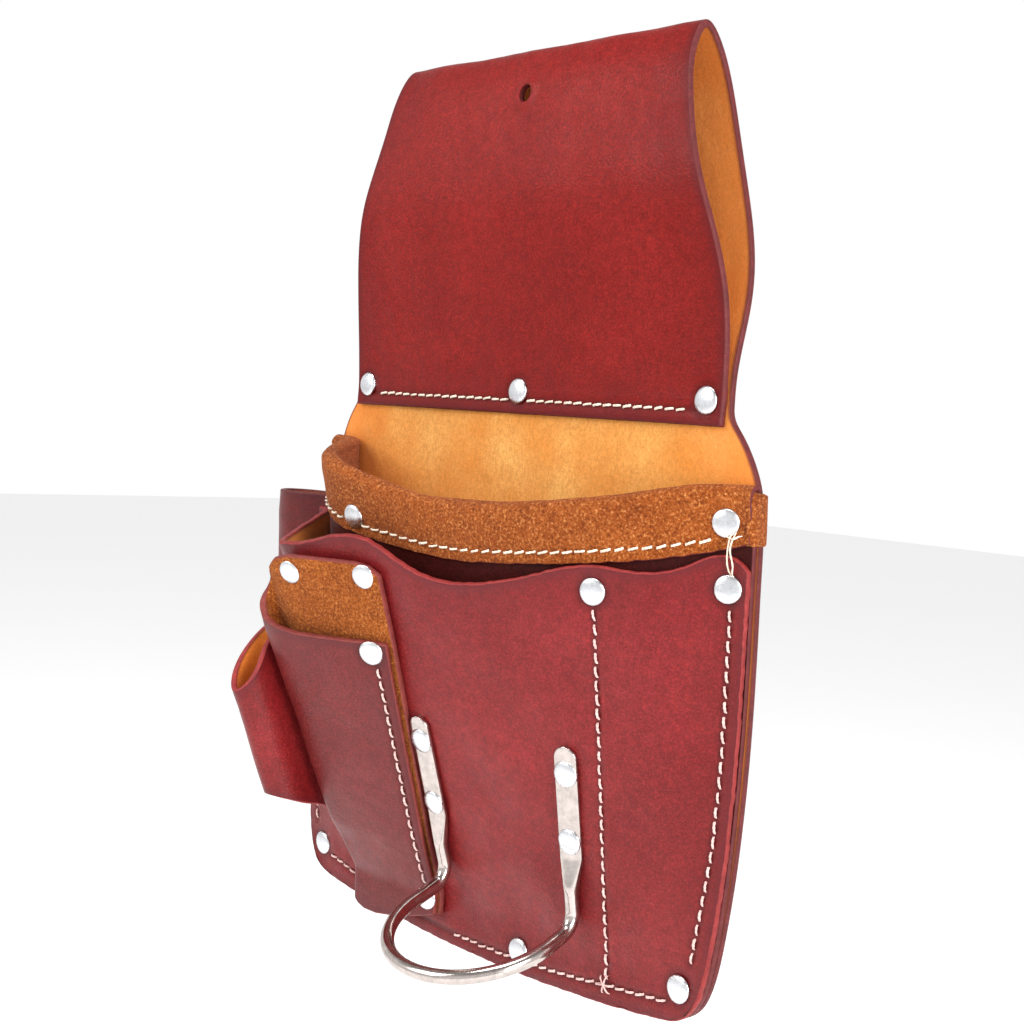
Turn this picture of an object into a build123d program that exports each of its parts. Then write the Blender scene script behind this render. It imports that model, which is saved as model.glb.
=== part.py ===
"""Leather electrician's tool pouch, worn on a belt through the loop at its top.

Millimetres. X runs to the wearer's left-to-right across the pouch, -Y faces out from the
body, Z is up. While the parts are made, heights are measured from the row of three rivets
that closes the belt loop, and Y = 0 is the flat back of the pouch. export() then moves
everything so that the origin is the inside of the loop's crown, where a belt bears.
"""
from build123d import *
from math import hypot, pi, sin
import os

# ---- driving dimensions ------------------------------------------------------------------
LEATHER = 2.8            # harness leather
SUEDE = 1.8              # binding leather
CROWN = 135.0            # inside top of the belt loop, above the rivet row
PANEL_HALF = 124.5       # half width of the pouch
BASE = -232.5            # lowest point of the pouch's rounded bottom edge
FLANGE = -213.0          # below this height the layers lie flat together
BOW = 4.5                # how far the sewn side edges are pulled back at mid height
BOW_TOP = -5.0           # the pull fades out at this height and at FLANGE
FLAP_HALF = 107.5        # half width of the belt loop's flap
FLAP_END = -9.0          # lower edge of the flap
FLAP_FACE = -2 * LEATHER - 0.05   # the flap lies a hair in front of the back panel
CROWN_HALF = 84.0        # half width of the loop at its crown
LOOP_SPOTS = 60          # places along the belt loop where its lining is set off from its face
HANG_HOLE = (0.0, 118.0) # x and height of the hole for a hook
HANG_RADIUS = 3.5
MAIN_MOUTH = -40.0       # height at which MAIN_DEPTHS holds
FRONT_MOUTH = -68.0      # height at which FRONT_DEPTHS holds
RIVET_HEAD = 5.25        # radius of a rivet's head
RIVET_DOME = 1.5
RIVET_CAP = 4.6          # radius of the cap behind
RIVET_SHANK = 1.6
RIVET_SEAT = 0.05        # clearance round heads and caps, where they press into the leather
RIVET_PRESS = 0.2        # how far heads and caps are pressed into the leather
SEAT_RISE = 3.0          # how far above its seat a head keeps the leather away
STITCH_PITCH = 5.2
STITCH_LENGTH = 3.8
THREAD = 0.5             # radius of the sewing thread
WIRE = 2.8               # radius of the hammer loop's wire

TAB_X = (-12.3, 59.5)    # the hammer loop's legs
TAB_RIVETS = (-142.0, -168.3)  # heights of their rivets
TAB_WIDTH = 10.0
TAB_THICK = 2.2
TAB_GAP = 0.4            # between the tabs and the leather
BAND_MARGIN = 5.0        # from the band's lower edge up to its seam
LOOP_REACH = 54.0       # how far the hammer loop stands forward
POCKET_TOP = -104.0     # upper edge of the plier pocket's front
BACKING_TOP = -71.0     # upper edge of its back
POCKET_BASE = -231.0
POCKET_FOLD = -71.0     # x at which it folds

# Forward bulge of the two pocket fronts at their mouths, from right to left: (x, depth)
MAIN_DEPTHS = [(124.5, 0), (118, 0.4), (112, 2.4), (95, 10.9), (72, 22), (30, 34.4), (0, 40.4), (-40, 46.4),
               (-60, 45.9), (-75, 37.4), (-95, 17), (-105, 6), (-111, 0.8), (-117, 0.1), (-124.5, 0)]
FRONT_DEPTHS = [(124.5, 0), (118, 0.4), (112, 2.8), (95, 12.2), (72, 21), (30, 37.6), (0, 46), (-30, 53.6),
                (-57, 60.4), (-71, 60), (-82, 51.6), (-105, 21.6), (-116, 7.5), (-124.5, 5.5)]

# Wavy top edges, from right to left: (x, height)
MAIN_RIM = [(126, -31), (106, -31.5), (82, -37), (60, -41), (34, -44.5), (0, -46), (-22, -43.5),
            (-50, -37), (-80, -30), (-112, -26), (-126, -26)]
FRONT_RIM = [(126, -61), (118, -54.6), (104, -59.6), (90, -63.3), (72, -62.7), (50, -68.4), (19, -75.5),
             (-5, -71.3), (-21, -63.1), (-54, -66.9), (-72, -68.7), (-100, -64), (-118, -58), (-126, -58)]
BAND_DROP = [(126, -49), (108, -54.5), (83, -59.8), (60, -63.4), (33, -66.1), (2, -67.5), (-21, -65.6),
             (-50, -61.5), (-80, -54), (-112, -49), (-126, -49)]


def bow(x, height):
    """How far the sewn edges sit behind the flat middle of the pouch."""
    edge = max(0.0, (abs(x) - 85) / 39.5) ** 2.3
    fade = max(0.0, sin(pi * (height - FLANGE) / (BOW_TOP - FLANGE)))
    return BOW * edge * fade


def evenly_in_x(points):
    """Spline parameters that run with x, so that a wall's rulings stay upright."""
    first, last = points[0][0], points[-1][0]
    return [(x - first) / (last - first) for x, _ in points]


def along_path(points):
    """Spline parameters that run with the distance along a path."""
    travelled = [0.0]
    for (x0, y0), (x1, y1) in zip(points, points[1:]):
        travelled.append(travelled[-1] + hypot(x1 - x0, y1 - y0))
    return [distance / travelled[-1] for distance in travelled]


def strip_wire(points, thickness, height, spacing):
    """Closed plan section of a bent strip: a line through the points, and one on its right-hand side."""
    inner = []
    for i, (x, y) in enumerate(points):
        before, after = points[max(i - 1, 0)], points[min(i + 1, len(points) - 1)]
        run, rise = after[0] - before[0], after[1] - before[1]
        length = hypot(run, rise)
        inner.append((x + thickness * rise / length, y - thickness * run / length))
    lines = [Edge.make_spline([Vector(x, y, height) for x, y in path], parameters=spacing)
             for path in (points, inner)]
    ends = [Edge.make_line(lines[0] @ end, lines[1] @ end) for end in (0, 1)]
    return Wire([lines[0], ends[1], lines[1], ends[0]])


def sheet(depths, front, thickness, mouth, top):
    """Sheet whose face lies `front` ahead of the back at the flanges and bulges by `depths`."""
    heights = [FLANGE, -175, -140, -105, -70, min(top, -18)]
    if top > -18:
        heights.append(top)
    sections = []
    for height in heights:
        share = (height - FLANGE) / (mouth - FLANGE)
        points = [(x, bow(x, height) - front - depth * share) for x, depth in depths]
        sections.append(strip_wire(points, thickness, height, evenly_in_x(points)))
    hem = Pos(0, thickness / 2 - front, (FLANGE + BASE) / 2) * Box(2 * PANEL_HALF, thickness, FLANGE - BASE)
    return Solid.make_loft(sections, ruled=True) + hem


def upright(face):
    """Turns a face drawn in x and height into a cutter through the whole depth."""
    return extrude(Plane.XZ * face, 120, both=True)


def both_sides(right_half):
    """Adds the mirror image of the right-hand half of an outline."""
    return right_half + mirror(right_half, Plane.YZ)


def pouch_outline():
    """Right half of the pouch's outline, from its rounded bottom to the neck under the flap."""
    bottom = ThreePointArc((0, BASE), (54, -230.6), (106, -225))
    corner = Spline((106, -225), (117, -217), (121.5, -200), tangents=[(1, 0.13), (0.12, 1)])
    side = Spline((121.5, -200), (124.3, -160), (PANEL_HALF, -100), (PANEL_HALF, -36),
                  tangents=[(0.12, 1), (0, 1)])
    shoulder = Spline((PANEL_HALF, -36), (120, -22), (109.5, -3), tangents=[(0, 1), (0, 1)])
    closing = Polyline((109.5, -3), (FLAP_HALF, 2), (0, 2), (0, BASE))
    return both_sides(make_face(bottom + corner + side + shoulder + closing))


def below(rim):
    """Area under a wavy edge."""
    edge = Spline(*rim)
    return make_face(edge + Polyline(rim[-1], (rim[-1][0], -250), (rim[0][0], -250), rim[0]))


# ---- leather -----------------------------------------------------------------------------
def belt_loop():
    """Strap that rises from the flap's end, folds over the belt and runs down the back."""
    outer = Spline((FLAP_FACE, FLAP_END), (FLAP_FACE, 6), (-8.6, 38), (-14, 66), (-15.5, 82),
                   (-13.2, 108), (-9, 128), (-1, CROWN + LEATHER), (7.2, 131), (13.2, 110), (12.4, 80),
                   (8.5, 43), (1.8, 10), (0, -3), tangents=[(0, 1), (0, -1)])
    spots = [i / LOOP_SPOTS for i in range(LOOP_SPOTS + 1)]
    face = [outer @ spot for spot in spots]
    lining = [outer @ spot + Vector((outer % spot).Y, -(outer % spot).X) * LEATHER for spot in spots]
    section = make_face(Spline(*face) + Polyline(face[-1], lining[-1]) + Spline(*lining)
                        + Polyline(lining[0], face[0]))
    body = extrude(Plane.YZ * section, FLAP_HALF, both=True)
    edge = Spline((FLAP_HALF, 38), (103, 62), (92, 96), (CROWN_HALF + 1, 128), (CROWN_HALF, 140),
                  tangents=[(0, 1), (0, 1)])
    waste = upright(make_face(edge + Polyline((CROWN_HALF, 140), (120, 140), (120, 38), (FLAP_HALF, 38))))
    hook = Pos(HANG_HOLE[0], 0, HANG_HOLE[1]) * Rot(90, 0, 0) * Cylinder(HANG_RADIUS, 60)
    return body - waste - mirror(waste, Plane.YZ) - hook


def back_panel():
    flat = [(x, 0) for x in (124.5, 118, 112, 100, 85, 0, -85, -100, -112, -118, -124.5)]
    panel = sheet(flat, LEATHER, LEATHER, MAIN_MOUTH, BOW_TOP) & upright(pouch_outline())
    neck = Pos(0, -LEATHER / 2, BOW_TOP + 1.5) * Box(2 * 109.5, LEATHER, 3)
    return panel + neck + belt_loop()


def main_pocket():
    body = sheet(MAIN_DEPTHS, 2 * LEATHER, LEATHER, MAIN_MOUTH, -18)
    return body & upright(pouch_outline()) & upright(below(MAIN_RIM))


def front_panel():
    body = sheet(FRONT_DEPTHS, 3 * LEATHER, LEATHER, FRONT_MOUTH, -50)
    return body & upright(pouch_outline()) & upright(below(FRONT_RIM))


def suede_band(pocket, back):
    """Binding folded over the pocket's rim; its inner leaf stops at the flanges."""
    rim = [(x, height + SUEDE) for x, height in MAIN_RIM]
    body = sheet(MAIN_DEPTHS, 2 * LEATHER + SUEDE, LEATHER + 2 * SUEDE, MAIN_MOUTH, -18)
    body = body & upright(pouch_outline()) & upright(below(rim) - below(BAND_DROP))
    return (body - pocket - back).solids().sort_by(SortBy.VOLUME)[-1]


def surface(body, x, height, from_behind=False):
    """Where a line parallel to Y first meets a body, and the way its surface faces there."""
    start, heading = (200, -1) if from_behind else (-200, 1)
    point, normal = body.find_intersection_points(Axis((x, start, height), (0, heading, 0)))[0]
    return point, normal if normal.Y * heading < 0 else -normal


def plan_spline(points, height):
    return Edge.make_spline([Vector(x, y, height) for x, y in points], parameters=evenly_in_x(points))


def plier_section(front, height, right, lift, swell):
    """Plan section of the plier pocket, folded at its left edge.

    lift raises the fold off the front panel, and swell is the hollow beside the fold.
    """
    stations = [POCKET_FOLD, -56, -42, -30, right]
    runs = [[], [], [], []]
    for x in stations:
        face = surface(front, x, max(height, FLANGE))[0].Y - 0.1
        share = (x - right) / (POCKET_FOLD - right)
        seat = face - lift * share
        cover = seat - LEATHER - 0.1 - swell * share ** 0.6
        for run, y in zip(runs, (seat, seat - LEATHER, cover, cover - LEATHER)):
            run.append((x, y))
    seat, lining, inside, outside = runs
    splines = [plan_spline(run, height) for run in runs]
    middle = (seat[0][1] + outside[0][1]) / 2
    radius = (seat[0][1] - outside[0][1]) / 2
    bends = []
    for near, far, reach in ((splines[3], splines[0], radius), (splines[2], splines[1], radius - LEATHER)):
        bends.append(ThreePointArc(near @ 0, Vector(POCKET_FOLD - reach, middle, height), far @ 0).edge())
    ends = [Edge.make_line(splines[0] @ 1, splines[1] @ 1), Edge.make_line(splines[2] @ 1, splines[3] @ 1)]
    return (Wire([splines[3], bends[0], splines[0], ends[0], splines[1], bends[1], splines[2], ends[1]]),
            Wire([splines[0], ends[0], splines[1], Edge.make_line(splines[0] @ 0, splines[1] @ 0)]))


def plier_pocket(front):
    """Narrow pocket: one strip folded at its left edge, taller at the back than at the front."""
    top = plier_section(front, POCKET_TOP, -16.5, 5.7, 6.4)
    waist = plier_section(front, -190, -20.5, 3.5, 4.6)
    flat = plier_section(front, FLANGE, -21, 0.6, 2.4)
    bottom = plier_section(front, POCKET_BASE, -21.5, 0.4, 2.0)
    tube = Solid.make_loft([section[0] for section in (top, waist, flat, bottom)], ruled=True)
    backing = [plier_section(front, height, -16.5, 5.7, 6.4)[1] for height in (BACKING_TOP, POCKET_TOP)]
    corner = Spline((-82, -227), (-68, -230), (-45, -227), (-15, -219))
    cut = make_face(corner + Polyline((-15, -219), (-15, -60), (-82, -60), (-82, -227)))
    return (tube + Solid.make_loft(backing, ruled=True)) & upright(cut)


def front_tool_loop(front):
    """Strap bent into a teardrop beside the plier pocket, its ends held under that pocket.

    The strap tapers, so the loop is tall where it is held and low at its outer bend.
    """
    ring = [(-65, 5.8), (-70, 5.8), (-76.5, 6.6), (-79.5, 13), (-77, 22), (-78, 31), (-84, 35.5), (-91, 31),
            (-94, 22), (-91, 11), (-84, 3.5), (-76, 0.4), (-70, 0.1), (-65, 0.1)]
    sections = []
    for height in (-95, -195):
        face = surface(front, -70, height)[0].Y
        plan = [(x, face - ahead) for x, ahead in ring]
        sections.append(strip_wire(plan, LEATHER, height, along_path(plan)))
    side = make_face(Polyline((-30, -57), (-56, -98), (-82, -139), (-67, -176), (-19, -188), (0, -193),
                              (0, -57), (-30, -57)))
    loop = Solid.make_loft(sections, ruled=True) & extrude(Plane.YZ * side, 120, both=True)
    return loop - front


def side_tool_loop():
    """Strap bent round the pouch's left edge, one end in front of the main pocket, one behind the back."""
    ring = [(-111.5, -8.5), (-118, -8.5), (-124.5, -8.7), (-136, -14), (-150, -16), (-160, -11.5),
            (-164.5, -4), (-161, 4), (-150, 8.5), (-136, 7), (-124.5, 3), (-118, 2.9), (-111.5, 2.9)]
    sections = []
    for height in (-137, -108, -80, -52):
        plan = [(x, y + bow(max(x, -PANEL_HALF), height)) for x, y in ring]
        sections.append(strip_wire(plan, LEATHER, height, along_path(plan)))
    return Solid.make_loft(sections, ruled=True)


# ---- wire hammer loop --------------------------------------------------------------------
def leg(front, x):
    """Places on the front panel for one leg of the hammer loop: two rivets, and the leg's frame."""
    (upper, facing), (lower, _) = (surface(front, x, height) for height in TAB_RIVETS)
    down = (lower - upper).normalized()
    out = (facing - down * facing.dot(down)).normalized()
    return upper, lower, down, out


def hammer_loop(front):
    """Bent steel wire with both ends flattened into tabs for two rivets each."""
    forward = Vector(0.117, -1, -0.333).normalized()
    tabs, starts, corners = [], [], []
    for x in TAB_X:
        upper, lower, down, out = leg(front, x)
        blade = SlotCenterToCenter((lower - upper).length + 14, TAB_WIDTH)
        seat = Plane(upper + down * 15 + out * TAB_GAP, x_dir=down, z_dir=out)
        tab = seat * extrude(blade, TAB_THICK)
        across = down.cross(out)
        wide = Plane(lower + down * 7 + out * (TAB_GAP + TAB_THICK / 2), x_dir=across, z_dir=down)
        round_start = lower + down * 18 + out * (WIRE + TAB_GAP)
        neck = loft([wide * Rectangle(TAB_WIDTH - 1, TAB_THICK),
                     Plane(round_start, x_dir=across, z_dir=down) * Circle(WIRE)])
        tabs += [tab, neck]
        starts.append(round_start)
        corners.append(round_start + down * 16)
    tips = [corner + forward * LOOP_REACH for corner in corners]
    bend = (tips[1] - tips[0]).length / 2 - 0.3
    path = FilletPolyline(starts[0], corners[0], *tips, corners[1], starts[1], radius=[8, bend, bend, 8])
    wire = sweep(Plane(path @ 0, z_dir=path % 0) * Circle(WIRE), path=path)
    return wire + tabs


# ---- rivets and thread -------------------------------------------------------------------
def domed_disc(radius, rise):
    """Flat-based disc with a low domed top, standing on the XY plane."""
    dome = ThreePointArc((0, rise), (radius * 0.7, rise * 0.72), (radius, 0))
    profile = make_face(Polyline((radius, 0), (0, 0), (0, rise)) + dome)
    return revolve(Plane.XZ * profile, Axis.Z)


def rivet(point, outward, depth):
    """Domed head with its shank through the leather, and the cap that closes it behind."""
    seat = Plane(point - outward * RIVET_PRESS, z_dir=outward)
    length = depth - 2 * RIVET_PRESS
    head = seat * (domed_disc(RIVET_HEAD, RIVET_DOME) + Pos(0, 0, -length / 2) * Cylinder(RIVET_SHANK, length))
    cap = Plane(seat.origin - outward * length, z_dir=-outward) * domed_disc(RIVET_CAP, RIVET_DOME)
    below_cap = RIVET_DOME + RIVET_SEAT
    hole = seat * (Pos(0, 0, -length / 2) * Cylinder(RIVET_SHANK, length + 2)
                   + Pos(0, 0, SEAT_RISE / 2) * Cylinder(RIVET_HEAD + RIVET_SEAT, SEAT_RISE)
                   + Pos(0, 0, -length - below_cap / 2) * Cylinder(RIVET_CAP + RIVET_SEAT, below_cap))
    return head, cap, hole


def set_rivets(places, front, behind, lift, head_on):
    """Rivets through everything between the face of one body and the far face of another.

    lift moves the heads off the face, onto a fitting that lies there. head_on sets the rivet along Y.
    """
    heads, caps, holes = [], [], []
    for x, height in places:
        point, outward = surface(front, x, height)
        outward = Vector(0, -1, 0) if head_on else outward
        hits = behind.find_intersection_points(Axis(point + outward, -outward))
        depth = max((hit - point).dot(-outward) for hit, _ in hits if (hit - point).length < 40)
        head, cap, hole = rivet(point + outward * lift, outward, depth + lift)
        heads.append(head)
        caps.append(cap)
        holes.append(hole)
    return heads, caps, holes


def stitches(body, line, rivet_places, from_behind=False):
    """Row of visible stitches on a body's face, along a line drawn in x and height, clear of the rivets."""
    count = round(line.length / STITCH_PITCH)
    half = STITCH_LENGTH / 2 / line.length
    row = []
    for i in range(count):
        middle = (i + 0.5) / count
        spot = line @ middle
        if min(hypot(spot.X - x, spot.Y - height) for x, height in rivet_places) < RIVET_HEAD + STITCH_LENGTH:
            continue
        (start, out), (end, _) = (surface(body, (line @ place).X, (line @ place).Y, from_behind)
                                  for place in (middle - half, middle + half))
        lift = out * (THREAD + 0.1)
        row.append(Solid.make_cylinder(THREAD, (end - start).length, Plane(start + lift, z_dir=end - start)))
    return row


def drilled(body, holes):
    """Cuts the rivet holes, one after another."""
    for hole in holes:
        body = body - hole
    return body


# ---- assembly ----------------------------------------------------------------------------
def export(name, shapes):
    """Moves a node's solids to the part's origin and writes them."""
    moved = [Pos(0, 0, -CROWN) * solid for shape in shapes for solid in shape.solids()]
    export_step(Compound(moved), f"parts/{name}.step")


def main():
    os.makedirs("parts", exist_ok=True)
    back = back_panel()
    pocket = main_pocket()
    front = front_panel() - pocket
    band = suede_band(pocket, back)
    plier = plier_pocket(front) - front
    side = side_tool_loop() - pocket - back - front
    hammer = hammer_loop(front) - plier
    leather = {
        "back_panel": back,
        "main_pocket": pocket,
        "suede_band": band,
        "front_panel": front,
        "plier_pocket": plier,
        "front_tool_loop": front_tool_loop(front) - plier,
        "side_tool_loop": side,
        "hammer_loop": hammer,
    }
    spots = {
        "flap": [(x, 0) for x in (-100, 0, 100)],
        "band": [(115, -42.7)],
        "band_left": [(-45.5, -55.4)],
        "panel_edge": [(117.5, -66), (109.5, -212), (25, -223), (-109.5, -212)],
        "divider": [(72.5, -71.9)],
        "plier_back": [(-57.8, -79.2), (-23.1, -77.2)],
        "plier_front": [(-23.3, -108)],
        "plier_foot": [(-26.1, -214)],
        "side_loop": [(-118, -57.5)],
        "hammer_loop": [(x, height) for x in TAB_X for height in TAB_RIVETS],
    }
    # each group runs from the face of its first layer to the far face of its last
    layers = {
        "plier_foot": ["plier_pocket", "front_panel", "main_pocket", "back_panel"],
        "side_loop": ["side_tool_loop", "front_panel", "main_pocket", "back_panel", "side_tool_loop"],
        "flap": ["back_panel"],
        "band": ["suede_band", "main_pocket", "back_panel"],
        "band_left": ["suede_band", "main_pocket", "suede_band"],
        "panel_edge": ["front_panel", "main_pocket", "back_panel"],
        "divider": ["front_panel", "main_pocket"],
        "plier_back": ["plier_pocket", "front_panel"],
        "plier_front": ["plier_pocket", "front_panel"],
        "hammer_loop": ["front_panel", "hammer_loop", "main_pocket", "front_panel"],
    }
    holes = {name: [] for name in leather}
    for name, through in layers.items():
        lift = TAB_GAP + TAB_THICK if name == "hammer_loop" else 0
        heads, caps, cuts = set_rivets(spots[name], leather[through[0]], leather[through[-1]], lift,
                                       head_on=name in ("flap", "side_loop"))
        export(f"{name}_rivets", heads)
        export(f"{name}_rivet_caps", caps)
        for layer in set(through):
            holes[layer] += cuts
    for name, body in leather.items():
        export(name, [drilled(body, holes[name])])

    places = [place for group in spots.values() for place in group]
    right = Spline((118.5, -76), (119, -110), (118.5, -160), (114, -202))
    left = Spline((-118.5, -68), (-119, -110), (-118.5, -160), (-114, -202))
    left_behind = Spline((-118.8, -143), (-118.5, -160), (-114, -202))
    bottom_right = Spline((104, -218.2), (74, -221.8), (38, -225.6), (0, -227.3), (-15, -227.3))
    bottom_left = Spline((-84, -220), (-94, -217.5), (-103, -215.8))
    flap = Line((-96, -3.6), (96, -3.6))
    for name, line in {"right": right, "bottom_right": bottom_right, "bottom_left": bottom_left}.items():
        export(f"{name}_seam", stitches(front, line, places))
        export(f"{name}_seam_behind", stitches(back, line, places, from_behind=True))
    export("left_seam", stitches(front, left, places))
    export("left_seam_behind", stitches(back, left_behind, places, from_behind=True))
    export("flap_seam", stitches(back, flap, places))
    export("flap_seam_behind", stitches(back, flap, places, from_behind=True))
    band_line = Spline(*[(x * 0.94, height + BAND_MARGIN) for x, height in BAND_DROP])
    export("band_seam", stitches(band, band_line, places))
    export("divider_seam", stitches(front, Line((73, -78), (73.7, -220)), places))
    export("plier_pocket_seam", stitches(plier, Line((-22.5, -114), (-25.8, -208)), places))


main()
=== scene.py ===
import math

import bpy
import numpy as np
from mathutils import Matrix, Vector


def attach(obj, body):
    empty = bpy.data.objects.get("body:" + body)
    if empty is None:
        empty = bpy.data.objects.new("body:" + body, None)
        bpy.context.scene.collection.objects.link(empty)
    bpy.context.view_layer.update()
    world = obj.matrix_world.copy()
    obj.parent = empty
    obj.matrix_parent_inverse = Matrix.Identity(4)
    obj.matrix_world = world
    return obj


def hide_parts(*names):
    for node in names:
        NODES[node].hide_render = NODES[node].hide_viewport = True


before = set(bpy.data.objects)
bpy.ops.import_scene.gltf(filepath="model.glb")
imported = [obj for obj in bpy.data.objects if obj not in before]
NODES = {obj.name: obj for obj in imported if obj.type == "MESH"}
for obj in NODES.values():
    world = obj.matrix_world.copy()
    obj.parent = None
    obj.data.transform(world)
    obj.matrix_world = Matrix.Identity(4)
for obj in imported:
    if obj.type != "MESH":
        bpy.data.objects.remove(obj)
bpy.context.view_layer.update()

RNG = np.random.default_rng(7)

# Lengths below are in millimetres, with heights counted from the rivet row that closes the belt loop.
CROWN = 135.0            # the inside of the loop's crown, which is the frame's origin
LEATHER = 2.8
SUEDE = 1.8
BASE = -232.5            # lower edge of the pouch
FLANGE = -213.0          # height where the pockets begin to stand off the back
MAIN_MOUTH = -40.0       # height at which MAIN_DEPTHS holds
FRONT_MOUTH = -68.0      # height at which FRONT_DEPTHS holds
FLAP_FACE = -5.65        # depth of the flap's grain side
HOOK_HEIGHT = 118
HOOK_RADIUS = 3.5
RIVET_HEAD = 5.25
RIVET_CAP = 4.6
RIVET_DOME = 1.5
STITCH_PITCH = 5.3
STITCH_LENGTH = 4.4
THREAD_RADIUS = 0.44
MAIN_DEPTHS = [(124.5, 0), (118, 0.4), (112, 2.4), (95, 10.9), (72, 22), (30, 34.4), (0, 40.4), (-40, 46.4),
               (-60, 45.9), (-75, 37.4), (-95, 17), (-105, 6), (-111, 0.8), (-117, 0.1), (-124.5, 0)]
FRONT_DEPTHS = [(124.5, 0), (118, 0.4), (112, 2.8), (95, 12.2), (72, 21), (30, 37.6), (0, 46), (-30, 53.6),
                (-57, 60.4), (-71, 60), (-82, 51.6), (-105, 21.6), (-116, 7.5), (-124.5, 5.5)]
MAIN_RIM = [(126, -31), (106, -31.5), (82, -37), (60, -41), (34, -44.5), (0, -46), (-22, -43.5),
            (-50, -37), (-80, -30), (-112, -26), (-126, -26)]
FRONT_RIM = [(126, -61), (118, -54.6), (104, -59.6), (90, -63.3), (72, -62.7), (50, -68.4), (19, -75.5),
             (-5, -71.3), (-21, -63.1), (-54, -66.9), (-72, -68.7), (-100, -64), (-118, -58), (-126, -58)]
BAND_DROP = [(126, -49), (108, -54.5), (83, -59.8), (60, -63.4), (33, -66.1), (2, -67.5), (-21, -65.6),
             (-50, -61.5), (-80, -54), (-112, -49), (-126, -49)]


# ---- curves ----
def spline(xs, ys):
    """Natural cubic spline through the points, as a function."""
    xs, ys = np.asarray(xs, float), np.asarray(ys, float)
    order = np.argsort(xs)
    xs, ys = xs[order], ys[order]
    n, h = len(xs), np.diff(xs)
    a = np.eye(n)
    b = np.zeros(n)
    for i in range(1, n - 1):
        a[i, i - 1:i + 2] = h[i - 1], 2 * (h[i - 1] + h[i]), h[i]
        b[i] = 6 * ((ys[i + 1] - ys[i]) / h[i] - (ys[i] - ys[i - 1]) / h[i - 1])
    m = np.linalg.solve(a, b)

    def f(x):
        x = np.clip(x, xs[0], xs[-1])
        i = np.clip(np.searchsorted(xs, x) - 1, 0, n - 2)
        d0, d1 = x - xs[i], xs[i + 1] - x
        return (m[i] * d1 ** 3 + m[i + 1] * d0 ** 3) / (6 * h[i]) \
            + (ys[i] / h[i] - m[i] * h[i] / 6) * d1 + (ys[i + 1] / h[i] - m[i + 1] * h[i] / 6) * d0
    return f


def path(points, count):
    """Smooth path through points of any dimension, sampled evenly along its length."""
    p = np.asarray(points, float)
    t = np.concatenate([[0], np.cumsum(np.linalg.norm(np.diff(p, axis=0), axis=1) ** 0.7)])
    fine = np.linspace(0, t[-1], 1200)
    q = np.stack([spline(t, p[:, k])(fine) for k in range(p.shape[1])], 1)
    return resample(q, count)


def lengths(q):
    """Distance along the polyline q to each of its points."""
    return np.concatenate([[0], np.cumsum(np.linalg.norm(np.diff(q, axis=0), axis=1))])


def resample(q, count):
    """The polyline q, sampled again at evenly spaced places."""
    s = lengths(q)
    return np.stack([np.interp(np.linspace(0, s[-1], count), s, q[:, k]) for k in range(q.shape[1])], 1)


def unit(v):
    return v / np.maximum(np.linalg.norm(v, axis=-1, keepdims=True), 1e-9)


def smooth_noise(p, size, seed):
    """Smooth wander of about unit height, with features of the given size."""
    waves = 14
    rng = np.random.default_rng(seed)
    k = unit(rng.normal(size=(waves, 3))) * (2 * math.pi / size) * rng.uniform(0.6, 1.5, (waves, 1))
    phase = rng.uniform(0, 2 * math.pi, waves)
    return np.sin(p @ k.T + phase).sum(-1) / math.sqrt(waves / 2)


# ---- the pouch's surfaces: depth y at a place x, z ----
main_depth = spline(*zip(*MAIN_DEPTHS))
front_depth = spline(*zip(*FRONT_DEPTHS))
main_rim = spline(*zip(*MAIN_RIM))
front_rim = spline(*zip(*FRONT_RIM))
band_drop = spline(*zip(*BAND_DROP))


def bow(x, z):
    """How far the pouch's side edges curve back from its flat middle."""
    edge = np.maximum(0, (np.abs(x) - 85) / 39.5) ** 2.3
    return 4.5 * edge * np.maximum(0, np.sin(np.pi * np.clip((z - FLANGE) / 208, 0, 1)))


def share(z, mouth):
    """Part of a pocket's depth at its mouth that it has at height z, from none at the flange."""
    soft = 0.0006  # how gently the leather leaves the flange
    s = (z - FLANGE) / (mouth - FLANGE)
    return 0.5 * (s + np.sqrt(s * s + soft)) - 0.5 * math.sqrt(soft) * np.exp(-(s / 0.1) ** 2)


def main_y(x, z, ahead=0.0):
    return bow(x, z) - 2 * LEATHER - ahead - main_depth(x) * share(z, MAIN_MOUTH)


def front_y(x, z):
    return bow(x, z) - 3 * LEATHER - front_depth(x) * share(z, FRONT_MOUTH)


def back_y(x, z):
    return bow(x, z)


def on(surface, x, z):
    """Points on a surface and its outward normals (towards the viewer)."""
    x, z = np.asarray(x, float), np.asarray(z, float)
    e = 0.3
    dx = (surface(x + e, z) - surface(x - e, z)) / (2 * e)
    dz = (surface(x, z + e) - surface(x, z - e)) / (2 * e)
    n = unit(np.stack([dx, -np.ones_like(dx), dz], -1))
    return np.stack([x, surface(x, z), z], -1), n


# ---- meshes ----
def to_row(p):
    return (np.asarray(p) - np.array([0, 0, CROWN])) / 1000


def add(name, data):
    """New object in the scene."""
    obj = bpy.data.objects.new(name, data)
    bpy.context.scene.collection.objects.link(obj)
    return obj


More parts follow.
